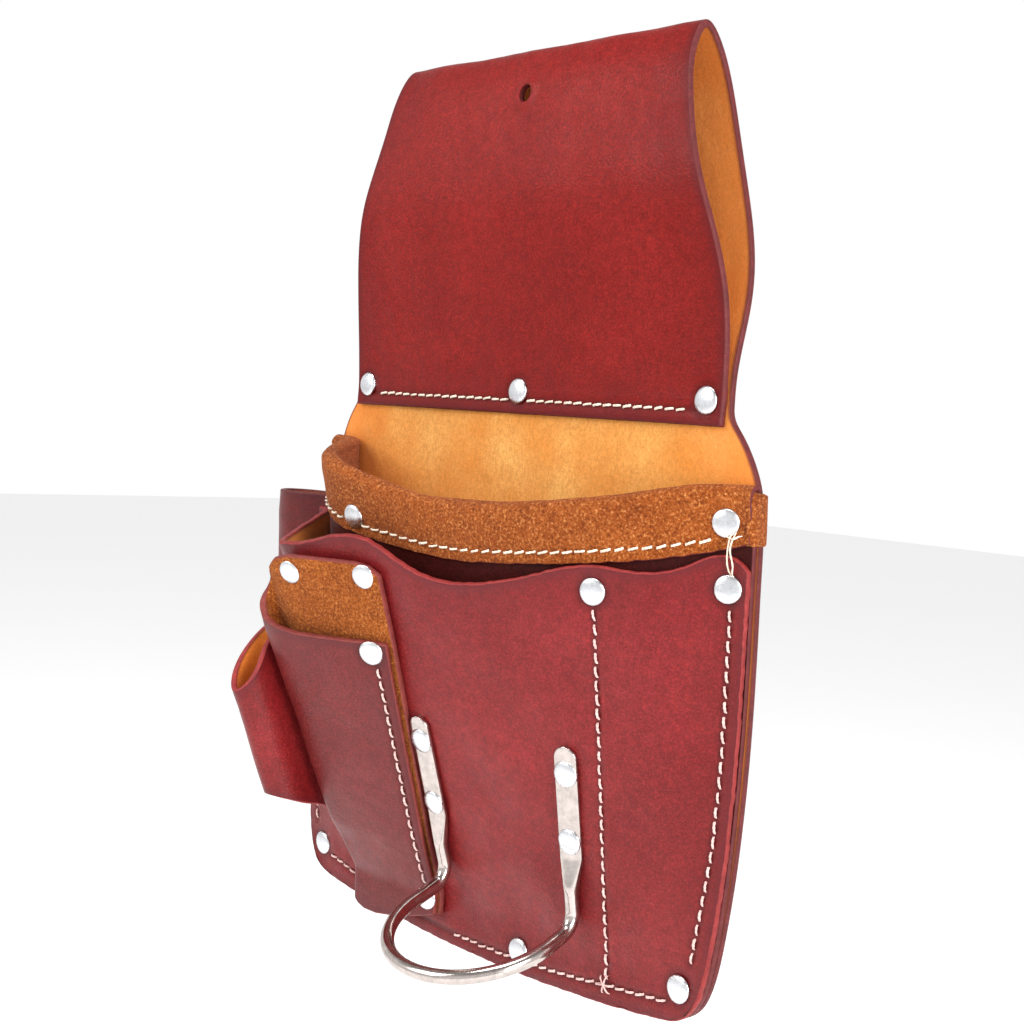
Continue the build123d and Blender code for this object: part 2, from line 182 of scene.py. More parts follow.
def make(name, verts, faces, mats, stands_for, face_mat=None, attrs=None):
    """Mesh piece from points in millimetres, tied to the frame."""
    mesh = bpy.data.meshes.new(name)
    mesh.from_pydata(to_row(verts).tolist(), [], [tuple(int(i) for i in f) for f in faces])
    for m in mats:
        mesh.materials.append(m)
    if face_mat is not None:
        mesh.polygons.foreach_set("material_index", np.asarray(face_mat, dtype=np.int32))
    mesh.polygons.foreach_set("use_smooth", [True] * len(mesh.polygons))
    for key, values in (attrs or {}).items():
        layer = mesh.attributes.new(key, "FLOAT", "POINT")
        layer.data.foreach_set("value", np.asarray(values, dtype=np.float32))
    mesh.update()
    obj = add(name, mesh)
    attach(obj, "root")
    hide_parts(*stands_for)
    return obj


def grid_normals(p, front=None):
    """Unit normals of a grid of points; the one at the cell front faces the viewer."""
    n = unit(np.cross(np.gradient(p, axis=0), np.gradient(p, axis=1)))
    return -n if front and n[front][1] > 0 else n


def ring_faces(base, rings, m):
    """Quads between consecutive rings of m points each."""
    faces = []
    for k in range(rings - 1):
        here, there = base + k * m, base + (k + 1) * m
        faces += [(here + i, here + (i + 1) % m, there + (i + 1) % m, there + i) for i in range(m)]
    return faces


def leather_sheet(name, p, thick, mats, stands_for, seams=(), *, out, seed, rivets=(), rough=1.0,
                  round_r=0.75, rim_scatter=0.0, wander=0.35):
    """Thick sheet of leather with rounded cut edges from a grid of points on its grain side.

    out points away from the grain side, as one direction or one for each point of the grid. seams are
    polylines pressed into the grain side and rivets are places where it is pressed down.
    """
    def outward(grid):
        normals = grid_normals(grid)
        return -normals if np.sum(normals * out) < 0 else normals
    nu, nv = p.shape[:2]
    n = outward(p)
    flat = p.reshape(-1, 3)
    seam = np.full(len(flat), 20.0)
    for line in seams:
        for point in line:
            seam = np.minimum(seam, np.linalg.norm(flat - point, axis=1))
    press = np.zeros(len(flat))
    halo = np.full(len(flat), 30.0)
    for spot in rivets:
        d = np.linalg.norm(flat - spot, axis=1)
        halo = np.minimum(halo, d)
        press += 0.45 * np.exp(-(d / 6.6) ** 4) + 0.25 * np.exp(-(d / 11) ** 2)
    # distance to the nearest edge, along the grid
    def run(axis):
        step = np.linalg.norm(np.diff(p, axis=axis), axis=2)
        pad = [(1, 0), (0, 0)] if axis == 0 else [(0, 0), (1, 0)]
        gone = np.cumsum(np.pad(step, pad), axis=axis)
        return np.minimum(gone, gone.max(axis=axis, keepdims=True) - gone)
    reach_u, reach_v = run(0), run(1)
    edge = np.minimum(reach_u, reach_v).reshape(-1)
    slack = np.clip(edge / 10, 0.15, 1)
    lift = wander * smooth_noise(flat, 46, seed) * slack + 0.045 * smooth_noise(flat, 13, seed + 1) * slack
    groove = 0.42 * np.exp(-(seam / 1.25) ** 2)
    bank = 0.10 * np.exp(-((seam - 3.2) / 1.6) ** 2)
    lift = lift * rough - press - groove + bank
    body = p + n * lift.reshape(nu, nv, 1)
    n = outward(body)
    # boundary loop and the direction that leaves the sheet at each of its points
    loop = [(i, 0) for i in range(nu)] + [(nu - 1, j) for j in range(1, nv)] \
        + [(i, nv - 1) for i in range(nu - 2, -1, -1)] + [(0, j) for j in range(nv - 2, 0, -1)]
    iu, iv = np.array([a for a, _ in loop]), np.array([b for _, b in loop])
    edge_p, edge_n = body[iu, iv], n[iu, iv]
    ahead = unit(np.roll(edge_p, -1, axis=0) - edge_p)
    behind = unit(edge_p - np.roll(edge_p, 1, axis=0))
    away = unit(np.cross(unit(ahead + behind), edge_n))
    inward = body[np.clip(iu, 1, nu - 2), np.clip(iv, 1, nv - 2)] - edge_p
    away = np.where(np.sum(away * inward, axis=1, keepdims=True) > 0, -away, away)
    ragged = rim_scatter * smooth_noise(edge_p, 5, seed + 5)[:, None]
    edge_p = edge_p + away * ragged
    r = round_r
    body[iu, iv] = edge_p - away * r
    top = body.reshape(-1, 3)
    low = (body - n * thick).reshape(-1, 3)
    turns = np.radians([15, 35, 60, 90])
    rings = [edge_p - away * r * (1 - math.sin(a)) - edge_n * r * (1 - math.cos(a)) for a in turns]
    rings.append(edge_p + away * 0.12 - edge_n * thick / 2)
    rings += [edge_p - away * r * (1 - math.sin(a)) - edge_n * (thick - r * (1 - math.cos(a)))
              for a in turns[::-1]]
    m = len(loop)
    verts = np.concatenate([top, low] + rings)
    count = nu * nv
    index = np.arange(count).reshape(nu, nv)
    a, b, c, d = index[:-1, :-1], index[1:, :-1], index[1:, 1:], index[:-1, 1:]
    quads = np.stack([a, b, c, d], -1).reshape(-1, 4)
    face_up = np.cross(top[quads[:, 1]] - top[quads[:, 0]], top[quads[:, 2]] - top[quads[:, 0]])
    flip = np.sum(face_up * n.reshape(-1, 3)[quads[:, 0]]) < 0
    up = quads[:, ::-1] if flip else quads
    down = (quads if flip else quads[:, ::-1]) + count
    chains = [index[iu, iv]] + [2 * count + k * m + np.arange(m) for k in range(len(rings))] \
        + [index[iu, iv] + count]
    sides, side_mat = [], []
    for k in range(len(chains) - 1):
        here, there = chains[k], chains[k + 1]
        strip = np.stack([here, np.roll(here, -1), np.roll(there, -1), there], -1)
        sides.append(strip[:, ::-1] if not flip else strip)
        side_mat += [0 if k == 0 else 1 if k == len(chains) - 2 else 2] * m
    faces = np.concatenate([up, down] + sides)
    face_mat = [0] * len(up) + [1] * len(down) + side_mat
    rest = count + m * len(rings)
    attrs = {
        "edge": np.concatenate([edge, edge, np.zeros(m * len(rings))]),
        "seam": np.concatenate([seam, np.full(rest, 20.0)]),
        "halo": np.concatenate([halo, np.full(rest, 30.0)]),
    }
    return make(name, verts, faces, mats, stands_for, face_mat, attrs)


def coons(bottom, top, left, right):
    """Grid of x, z inside four boundary curves; bottom and top run left to right, the others upwards."""
    u = np.linspace(0, 1, len(bottom))[:, None, None]
    v = np.linspace(0, 1, len(left))[None, :, None]
    ruled = (1 - v) * bottom[:, None] + v * top[:, None] + (1 - u) * left[None] + u * right[None]
    corners = (1 - u) * (1 - v) * bottom[0] + u * (1 - v) * bottom[-1]
    corners = corners + ((1 - u) * v * top[0] + u * v * top[-1])
    return ruled - corners


OUTLINE = path([(0, BASE), (30, -232), (54, -230.6), (80, -228.6), (100, -226), (108, -224.4), (114, -220.6),
                (118, -214.5), (120.3, -207), (121.5, -200), (123.3, -180), (124.2, -160), (124.6, -130),
                (124.5, -100), (124.5, -60), (124.3, -36), (122.8, -28), (119.5, -20), (114.5, -12),
                (110.2, -6), (109.5, -3)], 900)


def pouch_grid(top_edge, nu, nv):
    """Grid over the pouch's outline up to a top edge (a function of x, or a height)."""
    corner = np.argmin(np.abs(OUTLINE[:, 0] - 114) + (OUTLINE[:, 1] > -205) * 1000)
    rise = OUTLINE[corner:]
    if callable(top_edge):
        end = np.argmax(rise[:, 1] > top_edge(rise[:, 0]))
    else:
        end = np.argmax(rise[:, 1] >= top_edge) or len(rise) - 1
    right = resample(rise[:end + 1], nv)
    mirror = np.array([-1, 1])
    if callable(top_edge):
        end = np.argmax(rise[:, 1] > top_edge(-rise[:, 0]))
        left = resample(rise[:end + 1] * mirror, nv)
        xs = np.linspace(left[-1, 0], right[-1, 0], 600)
        top = resample(np.stack([xs, top_edge(xs)], 1), nu)
    else:
        left = right * mirror
        xs = np.linspace(-right[-1, 0], right[-1, 0], nu)
        top = np.stack([xs, np.full(nu, right[-1, 1])], 1)
    low = OUTLINE[:corner + 1]
    bottom = resample(np.concatenate([low[::-1] * mirror, low[1:]]), nu)
    return coons(bottom, top, left, right)


def lift_grid(xz, surface):
    return np.stack([xz[..., 0], surface(xz[..., 0], xz[..., 1]), xz[..., 1]], -1)


def line_on(surface, points, count=160):
    xz = path(points, count)
    return on(surface, xz[:, 0], xz[:, 1])[0]


# ---- materials ----
class Nodes:
    """Small helper that builds one node material."""

    def __init__(self, name):
        self.mat = bpy.data.materials.new(name)
        self.mat.use_nodes = True
        self.tree = self.mat.node_tree
        self.bsdf = self.tree.nodes["Principled BSDF"]
        self.coord = self.new("TexCoord").outputs["Object"]

    def new(self, kind):
        return self.tree.nodes.new("ShaderNode" + kind)

    def link(self, value, socket):
        self.tree.links.new(value, socket)

    def set(self, **values):
        for key, value in values.items():
            self.bsdf.inputs[key.replace("_", " ")].default_value = value

    def noise(self, scale, detail=4.0, rough=0.5, stretch=None, distortion=0.0):
        node = self.new("TexNoise")
        node.inputs["Scale"].default_value = scale
        node.inputs["Detail"].default_value = detail
        node.inputs["Roughness"].default_value = rough
        node.inputs["Distortion"].default_value = distortion
        source = self.coord
        if stretch:
            mapping = self.new("Mapping")
            mapping.inputs["Scale"].default_value = stretch
            self.link(source, mapping.inputs["Vector"])
            source = mapping.outputs["Vector"]
        self.link(source, node.inputs["Vector"])
        return node.outputs["Fac"]

    def cells(self, scale):
        node = self.new("TexVoronoi")
        node.inputs["Scale"].default_value = scale
        self.link(self.coord, node.inputs["Vector"])
        return node.outputs["Distance"]

    def attribute(self, name):
        node = self.new("Attribute")
        node.attribute_name = name
        return node.outputs["Fac"]

    def fade(self, value, low, high, start=0.0, end=1.0):
        node = self.new("MapRange")
        for key, number in (("From Min", low), ("From Max", high), ("To Min", start), ("To Max", end)):
            node.inputs[key].default_value = number
        self.link(value, node.inputs["Value"])
        return node.outputs["Result"]

    def math(self, kind, a, b):
        node = self.new("Math")
        node.operation = kind
        for socket, value in zip(node.inputs, (a, b)):
            if isinstance(value, (int, float)):
                socket.default_value = value
            else:
                self.link(value, socket)
        return node.outputs[0]

    def mix(self, factor, a, b):
        node = self.new("Mix")
        node.data_type = "RGBA"
        if isinstance(factor, (int, float)):
            node.inputs[0].default_value = factor
        else:
            self.link(factor, node.inputs[0])
        for socket, value in ((node.inputs[6], a), (node.inputs[7], b)):
            if isinstance(value, tuple):
                socket.default_value = (*value, 1)
            else:
                self.link(value, socket)
        return node.outputs[2]

    def bump(self, *layers):
        last = None
        for height, strength, distance in layers:
            node = self.new("Bump")
            node.inputs["Strength"].default_value = strength
            node.inputs["Distance"].default_value = distance
            self.link(height, node.inputs["Height"])
            if last is not None:
                self.link(last, node.inputs["Normal"])
            last = node.outputs["Normal"]
        self.link(last, self.bsdf.inputs["Normal"])

    def feed(self, socket, value):
        self.link(value, self.bsdf.inputs[socket])


def tint(colour, share):
    """The colour times the share: below one is darker."""
    return tuple(c * share for c in colour)


def grain(name, deep, bright, burnish, rough=0.42, creases=0.25, specular=0.35):
    """Finished side of harness leather: mottled dye, fine pores and creases, dark burnished edges."""
    m = Nodes(name)
    m.set(Specular_IOR_Level=specular)
    cloud = m.noise(22, 5, 0.55)
    fine = m.noise(260, 6, 0.65)
    colour = m.mix(m.fade(cloud, 0.35, 0.68), deep, bright)
    colour = m.mix(m.fade(fine, 0.36, 0.68, 0.0, 0.60), colour, tint(deep, 0.58))
    grit = m.noise(1250, 3, 0.7)
    colour = m.mix(m.fade(grit, 0.46, 0.64, 0.0, 0.50), colour, tint(deep, 0.50))
    colour = m.mix(m.fade(grit, 0.48, 0.34, 0.0, 0.40), colour, tint(bright, 1.55))
    pores = m.cells(1150)
    pits = m.fade(pores, 0.0, 0.28, 1.0, 0.0)
    colour = m.mix(m.math("MULTIPLY", pits, 0.30), colour, tint(deep, 0.4))
    edge = m.fade(m.attribute("edge"), 0.4, 4.5, 0.75, 0.0)
    colour = m.mix(m.fade(m.attribute("edge"), 2.0, 26.0, 0.34, 0.0), colour, tint(deep, 0.5))
    colour = m.mix(edge, colour, burnish)
    groove = m.fade(m.attribute("seam"), 0.3, 2.0, 0.78, 0.0)
    colour = m.mix(groove, colour, tint(deep, 0.35))
    ring = m.fade(m.attribute("halo"), 5.2, 8.5, 0.6, 0.0)
    colour = m.mix(ring, colour, tint(deep, 0.35))
    m.feed("Base Color", colour)
    m.feed("Roughness", m.fade(m.noise(75, 4, 0.6), 0.3, 0.7, rough - 0.08, rough + 0.10))
    m.bump((m.noise(70, 4, 0.55, (1.0, 1.0, 4.5), 0.6), creases, 0.0010),
           (m.noise(520, 5, 0.6, (1.0, 1.0, 1.7)), 0.30, 0.00035),
           (pores, 0.35, 0.00022),
           (m.noise(2400, 2, 0.5), 0.18, 0.00015))
    return m.mat


def flesh(name, deep, bright):
    """Unfinished side: tan fibres, brushed nap."""
    m = Nodes(name)
    m.set(Specular_IOR_Level=0.15, Roughness=0.92, Sheen_Weight=0.05, Sheen_Roughness=0.6)
    cloud = m.noise(26, 5, 0.6)
    fibre = m.noise(900, 5, 0.7, (1.0, 1.0, 0.6))
    colour = m.mix(m.fade(cloud, 0.32, 0.7), deep, bright)
    colour = m.mix(m.fade(fibre, 0.38, 0.66, 0.0, 0.5), colour, tint(deep, 0.66))
    colour = m.mix(m.fade(m.noise(170, 4, 0.7), 0.52, 0.78, 0.0, 0.35), colour, tint(deep, 0.74))
    colour = m.mix(m.fade(m.attribute("edge"), 2.0, 34.0, 0.62, 0.0), colour, (0.66, 0.17, 0.022))
    grit = m.noise(1300, 3, 0.7)
    colour = m.mix(m.fade(grit, 0.48, 0.64, 0.0, 0.45), colour, tint(deep, 0.60))
    edge = m.fade(m.attribute("edge"), 0.2, 2.2, 0.85, 0.0)
    colour = m.mix(edge, colour, (0.16, 0.030, 0.018))
    m.feed("Base Color", colour)
    m.bump((m.noise(160, 5, 0.65), 0.35, 0.0007), (fibre, 0.6, 0.0004), (m.noise(2600, 3, 0.6), 0.5, 0.0002))
    return m.mat


def suede(name, deep, bright, speck):
    """Brown split leather with a mottled nap and pale specks."""
    m = Nodes(name)
    m.set(Specular_IOR_Level=0.12, Roughness=0.95, Sheen_Weight=0.06, Sheen_Roughness=0.5)
    colour = m.mix(m.fade(m.noise(60, 6, 0.7), 0.33, 0.68), deep, bright)
    clumps = m.noise(950, 4, 0.75, None, 0.3)
    colour = m.mix(m.fade(clumps, 0.53, 0.68, 0.0, 0.6), colour, speck)
    colour = m.mix(m.fade(clumps, 0.49, 0.36, 0.0, 0.85), colour, tint(deep, 0.40))
    m.feed("Base Color", colour)
    m.bump((m.noise(240, 5, 0.7), 0.5, 0.0010), (clumps, 0.9, 0.0009), (m.noise(1900, 4, 0.7), 0.7, 0.0004))
    return m.mat


def cut_edge(name, deep, bright):
    """Cut edge of leather, burnished and dyed, with fibres along it."""
    m = Nodes(name)
    m.set(Specular_IOR_Level=0.3)
    colour = m.mix(m.fade(m.noise(180, 5, 0.7), 0.3, 0.7), deep, bright)
    colour = m.mix(m.fade(m.noise(900, 4, 0.7), 0.4, 0.7, 0.0, 0.5), colour, tint(deep, 0.55))
    m.feed("Base Color", colour)
    m.feed("Roughness", m.fade(m.noise(300, 3, 0.6), 0.3, 0.7, 0.45, 0.65))
    m.bump((m.noise(420, 5, 0.7), 0.5, 0.0006), (m.noise(1500, 3, 0.6), 0.5, 0.0003))
    return m.mat


def metal(name, colour, rough, scratches, worn_tint):
    """Bare metal with faint scratches, tinted where it is worn."""
    m = Nodes(name)
    m.set(Metallic=1.0)
    worn = m.noise(240, 5, 0.7)
    m.feed("Base Color", m.mix(m.fade(worn, 0.35, 0.7), colour, tint(colour, worn_tint)))
    m.feed("Roughness", m.fade(m.noise(700, 4, 0.7), 0.3, 0.7, rough * 0.75, rough * 1.4))
    m.bump((m.noise(160, 4, 0.6), scratches, 0.0004), (m.noise(1400, 4, 0.7), scratches * 0.8, 0.0001))
    return m.mat


def thread_material(name, colour, shade):
    m = Nodes(name)
    m.set(Specular_IOR_Level=0.25, Roughness=0.75, Sheen_Weight=0.15)
    colour = m.mix(m.fade(m.noise(420, 4, 0.7), 0.35, 0.7), colour, shade)
    colour = m.mix(m.fade(m.noise(2200, 3, 0.7), 0.5, 0.75, 0.0, 0.5), colour, tint(shade, 0.6))
    m.feed("Base Color", colour)
    m.bump((m.noise(2600, 3, 0.6), 0.7, 0.0002),)
    return m.mat


GRAIN_FLAP = grain("burgundy_grain_flap", (0.188, 0.0062, 0.0046), (0.252, 0.0105, 0.0075),
                   (0.09, 0.006, 0.008), 0.36, 0.17, 0.13)
GRAIN_FRONT = grain("burgundy_grain_front", (0.178, 0.0092, 0.0105), (0.252, 0.0165, 0.0175),
                    (0.10, 0.009, 0.012), 0.38, 0.15, 0.26)
GRAIN_PLIER = grain("burgundy_grain_plier", (0.140, 0.0120, 0.0120), (0.188, 0.0190, 0.0185),
                    (0.09, 0.010, 0.013), 0.40, 0.14, 0.30)
# Painted shade: the main pocket's leather, in shadow under the suede band, is a much darker copy of the
# burgundy grain.
GRAIN_INNER_PAINTED_SHADE = grain("burgundy_grain_inner_painted_shade", (0.040, 0.0045, 0.0040), (0.066, 0.0080, 0.0065),
                    (0.03, 0.003, 0.003), 0.50, 0.16, 0.10)
# Painted shade: the side strap loop, in shade at the pouch's left, uses a darker copy of the front panel's
# burgundy grain.
GRAIN_SIDE_PAINTED_SHADE = grain("burgundy_grain_side_painted_shade", (0.120, 0.0078, 0.0085), (0.165, 0.0125, 0.0125),
                   (0.07, 0.007, 0.009), 0.38, 0.15, 0.26)
FLESH_BACK = flesh("tan_flesh", (0.74, 0.26, 0.042), (0.90, 0.47, 0.130))
FLESH_LOOP = flesh("tan_flesh_loop", (0.70, 0.21, 0.030), (0.85, 0.32, 0.062))
SUEDE_BAND = suede("brown_suede", (0.25, 0.050, 0.0060), (0.37, 0.088, 0.0115), (0.86, 0.38, 0.12))
SUEDE_BACK = suede("brown_suede_liner", (0.25, 0.052, 0.0050), (0.37, 0.092, 0.010), (0.80, 0.32, 0.08))
EDGE_DARK = cut_edge("edge_burnished", (0.085, 0.009, 0.010), (0.155, 0.019, 0.019))
EDGE_RED = cut_edge("edge_red", (0.19, 0.013, 0.013), (0.33, 0.032, 0.029))
EDGE_PINK = cut_edge("edge_pink", (0.15, 0.020, 0.018), (0.25, 0.046, 0.036))
NICKEL = metal("nickel", (0.70, 0.708, 0.73), 0.27, 0.12, 0.86)
STEEL = metal("steel_wire", (0.60, 0.53, 0.495), 0.14, 0.06, 0.66)
THREAD_PALE = thread_material("thread_cream", (0.84, 0.76, 0.63), (0.66, 0.53, 0.40))
THREAD_PINK = thread_material("thread_pink_white", (0.80, 0.57, 0.52), (0.62, 0.36, 0.33))

# ---- seams and rivet places ----
RIVETS = {"flap": [(-100, 0), (0, 0), (100, 0)], "band": [(115, -42.7)], "band_left": [(-45.5, -55.4)],
          "panel_edge": [(117.5, -66), (109.5, -212), (25, -223), (-109.5, -212)], "divider": [(72.5, -71.9)]}
SIDE_R = [(118.5, -62), (119, -110), (118.5, -160), (114, -202)]
SIDE_L = [(-118.5, -68), (-119, -110), (-118.5, -160), (-114, -202)]
BOTTOM = [(-103, -215.8), (-94, -217.5), (-84, -220), (-60, -223.6), (-15, -227.3), (0, -227.3), (38, -225.6),
          (74, -221.8), (104, -218.2)]
DIVIDER = [(73, -78), (73.7, -220)]
FLAP_SEAM = [(-96, -3.6), (96, -3.6)]


def spots(name, surface):
    return [on(surface, np.array([x]), np.array([z]))[0][0] for x, z in RIVETS[name]]


# ---- back panel and belt loop: one strip of leather ----
LOOP = [(FLAP_FACE, -9), (FLAP_FACE, 6), (-8.6, 38), (-14, 66), (-15.5, 82), (-13.2, 108), (-9, 128),
        (-1, CROWN + LEATHER), (7.2, 131), (13.2, 110), (12.4, 80), (8.5, 43), (1.8, 10), (0, -3)]
loop_half = spline([-12, 0, 38, 62, 96, 128, 140], [107.5, 107.6, 107.5, 103, 92, 85, 84])
back_half = spline([-3, 10, 38, 62, 96, 128, 140], [109.5, 108.2, 107.5, 103, 92, 85, 84])


def back_piece():
    nu = 150
    xz = pouch_grid(-3.0, nu, 130)
    low = lift_grid(xz, back_y)
    strip = path(LOOP[::-1], 215)
    s = np.linspace(-1, 1, nu)
    climb = np.linspace(0, 1, len(strip))
    rows = []
    for (y, z), t in zip(strip[1:], climb[1:]):
        half = back_half(z) if t < 0.5 else loop_half(z)  # the strap's front layer is a little narrower
        rows.append(np.stack([s * half, np.full(nu, y), np.full(nu, z)], 1))
    p = np.concatenate([low, np.stack(rows, 1)], 1)
    seams = [np.stack([np.linspace(-96, 96, 160), np.full(160, FLAP_FACE), np.full(160, -3.6)], 1)]
    seams += [line_on(back_y, line) for line in (SIDE_R, SIDE_L, BOTTOM)]
    rivets = [np.array([x, FLAP_FACE, 0.0]) for x, _ in RIVETS["flap"]]
    # puckered rim of the hook hole in the front layer
    d = np.linalg.norm(p - np.array([0, -11.9, HOOK_HEIGHT]), axis=2)
    n = grid_normals(p)
    if n[75, 60, 1] < 0:
        n = -n
    p = p + n * (0.9 * np.exp(-((d - 4.6) / 1.8) ** 2))[..., None] * 0.6
    obj = leather_sheet("back_and_belt_loop", p, LEATHER, [GRAIN_FLAP, FLESH_BACK, EDGE_DARK],
                        ["back_panel"], seams, out=n, rivets=rivets, seed=11,
                        wander=0.16, rough=0.8)
    bpy.ops.mesh.primitive_cylinder_add(vertices=40, radius=HOOK_RADIUS / 1000, depth=0.08,
                                        location=(0, 0, (HOOK_HEIGHT - CROWN) / 1000),
                                        rotation=(math.pi / 2, 0, 0))
    cutter = bpy.context.object
    cutter.data.materials.append(EDGE_DARK)
    mod = obj.modifiers.new("hole", "BOOLEAN")
    mod.object = cutter
    mod.solver = "EXACT"
    bpy.context.view_layer.objects.active = obj
    bpy.ops.object.modifier_apply(modifier="hole")
    bpy.data.objects.remove(cutter)
    return obj


# ---- the pockets ----
def main_piece():
    p = lift_grid(pouch_grid(main_rim, 120, 100), main_y)
    # Its grain side is the darker copy of the burgundy leather, painted shade for the shadow under the band.
    return leather_sheet("main_pocket_leather", p, LEATHER, [GRAIN_INNER_PAINTED_SHADE, FLESH_LOOP, EDGE_DARK],
                         ["main_pocket"], out=np.array([0, -1, 0]), seed=21, wander=0.15)


def front_piece():
    p = lift_grid(pouch_grid(front_rim, 190, 150), front_y)
    seams = [line_on(front_y, line, 220) for line in (SIDE_R, SIDE_L, BOTTOM, DIVIDER)]
    rivets = spots("panel_edge", front_y) + spots("divider", front_y)
    return leather_sheet("front_panel_leather", p, LEATHER, [GRAIN_FRONT, FLESH_LOOP, EDGE_RED],
                         ["front_panel"], seams, out=np.array([0, -1, 0]), rivets=rivets,
                         seed=31, rim_scatter=0.10)


def band_y(x, z):
    return main_y(x, z, SUEDE)


def band_line():
    """Course of the seam that holds the band, a little above its lower edge."""
    return [(x * 0.97, band_drop(x * 0.97) + 4.6) for x in range(-124, 125, 8)]


def band_piece():
    """Suede folded over the main pocket's rim, rolled fat along the top."""
    xs = np.linspace(-124.3, 124.3, 260)
    roll = 3.2 + 0.9 * np.clip((-xs - 40) / 60, 0, 1) + 0.12 * np.sin(xs / 14.0) * np.sin(xs / 31.0)
    drop, rim = band_drop(xs), main_rim(xs) + SUEDE
    profile = []
    for q in np.linspace(0, 1, 22):
        z = drop + (rim - roll - drop) * q
        profile.append(on(band_y, xs, z)[0])
    top, n = on(band_y, xs, rim - roll)
    core = top - n * 3.2
    swell = (roll / 3.2)[:, None]
    rise = np.array([0, 0, 1]) * roll[:, None]
    for a in np.radians(np.linspace(12, 168, 15)):
        profile.append(core + n * 3.2 * math.cos(a) * swell ** 0.5 + rise * math.sin(a))
    for q in np.linspace(1, 0, 16):
        z = drop + 4 + (rim - roll - drop - 4) * q
        pos, n = on(band_y, xs, z)
        profile.append(pos - n * 6.3)
    p = np.stack(profile, 1)
    n = grid_normals(p, (130, 5))
    p = p + n * (0.16 * smooth_noise(p, 34, 5) + 0.06 * smooth_noise(p, 9, 6))[..., None]
    seam = [line_on(band_y, band_line(), 240)]
    rivets = spots("band", main_y) + spots("band_left", main_y)
    return leather_sheet("suede_band_wrap", p, SUEDE, [SUEDE_BAND, SUEDE_BACK, EDGE_DARK],
                         ["suede_band"], seam, out=n, rivets=rivets, seed=41, rough=0.3, round_r=0.6,
                         rim_scatter=0.12)


def band_end_piece():
    """The band's right end, turned round the pouch's edge."""
    plan = path([(121.4, -6.9), (123.4, -7.3), (124.9, -6.3), (125.4, -4.0), (125.4, -1.2), (124.6, 1.2),
                 (122.8, 2.1), (120.4, 2.2)], 70)
    rows = []
    for k, (x, y) in enumerate(plan):
        z = np.linspace(-50.2 + 0.6 * k / 70, -30.9 - 1.4 * k / 70, 30)
        rows.append(np.stack([np.full(30, x), y + bow(min(x, 124.5), z), z], 1))
    p = np.stack(rows)
    n = grid_normals(p, (10, 15))
    return leather_sheet("suede_band_end", p, SUEDE, [SUEDE_BAND, SUEDE_BACK, SUEDE_BACK],
                         ["suede_band"], out=n, seed=45, rough=0.4, round_r=0.7, rim_scatter=0.15)


# ---- plier pocket ----
LEVELS = [-232, -213, -190, -104, -60]
plier_lift = lambda z: np.interp(z, LEVELS, [0.4, 0.6, 3.5, 5.7, 5.7])
plier_swell = lambda z: np.interp(z, LEVELS, [2.0, 2.4, 4.6, 6.4, 6.4])
plier_right = lambda z: np.interp(z, LEVELS, [-21.5, -21.0, -20.5, -16.5, -16.5])


def plier_point(t, z):
    """Grain side of the folded strip: t is 0..1 over the front, 1..2 round the fold, 2..3 along the back."""
    right = plier_right(z)
    fold = -71.0
    def run(x, cover):
        s = (x - right) / (fold - right)
        seat = front_y(x, np.maximum(z, FLANGE)) - 0.1 - plier_lift(z) * s
        return seat - (2 * LEATHER + 0.1 + plier_swell(z) * np.maximum(s, 0) ** 0.6) if cover else seat
    if t <= 1:
        x = right + (fold - right) * t
        return np.array([x, run(x, True), z])
    if t >= 2:
        x = fold + (right - fold) * (t - 2)
        return np.array([x, run(x, False), z])
    outside, seat = run(fold, True), run(fold, False)
    radius, middle = (seat - outside) / 2, (seat + outside) / 2
    a = math.pi * (t - 1)
    return np.array([fold - radius * math.sin(a), middle - radius * math.cos(a), z])


def plier_top(t):
    """Upper edge of the strip: low over the front, climbing through the fold to the taller back."""
    return float(np.interp(t, [0, 0.72, 0.9, 1.05, 1.3, 1.62, 1.9, 2.02, 2.12, 2.25, 2.8, 2.92, 3.0],
                           [-104, -104.2, -102.5, -99.5, -94, -88, -82, -77, -73, -71.3, -71, -72.2, -75.5]))


def plier_bottom(t):
    x = plier_point(t, -220)[0]
    places = [-80, -74, -70, -66, -58, -45, -30, -16]
    heights = [-221, -226, -228.4, -229.6, -229.6, -227.4, -223.2, -218.8]
    return float(np.interp(x, places, heights))


def plier_piece():
    ts = np.concatenate([np.linspace(0, 1, 52)[:-1], np.linspace(1, 2, 22)[:-1], np.linspace(2, 3, 52)])
    p = np.stack([[plier_point(t, z) for z in np.linspace(plier_bottom(t), plier_top(t), 104)] for t in ts])
    n = grid_normals(p, (20, 50))
    seam = [np.array([plier_point(0.09, z) for z in np.linspace(-208, -112, 120)])]
    return leather_sheet("plier_pocket_leather", p, LEATHER, [GRAIN_PLIER, SUEDE_BACK, EDGE_PINK],
                         ["plier_pocket"], seam, out=n,
                         rivets=[plier_point(0.12, -108.0)], seed=51, wander=0.2)


# ---- strap tool loops ----
FRONT_RING = [(-65, 5.8), (-70, 5.8), (-76.5, 6.6), (-79.5, 13), (-77, 22), (-78, 31), (-84, 35.5),
              (-91, 31), (-94, 22), (-91, 11), (-84, 3.5), (-76, 0.4), (-70, 0.1), (-65, 0.1)]
SIDE_RING = [(-111.5, -8.5), (-118, -8.5), (-124.5, -8.7), (-136, -14), (-150, -16), (-160, -11.5),
             (-164.5, -4), (-161, 4), (-150, 8.5), (-136, 7), (-124.5, 3), (-118, 2.9), (-111.5, 2.9)]


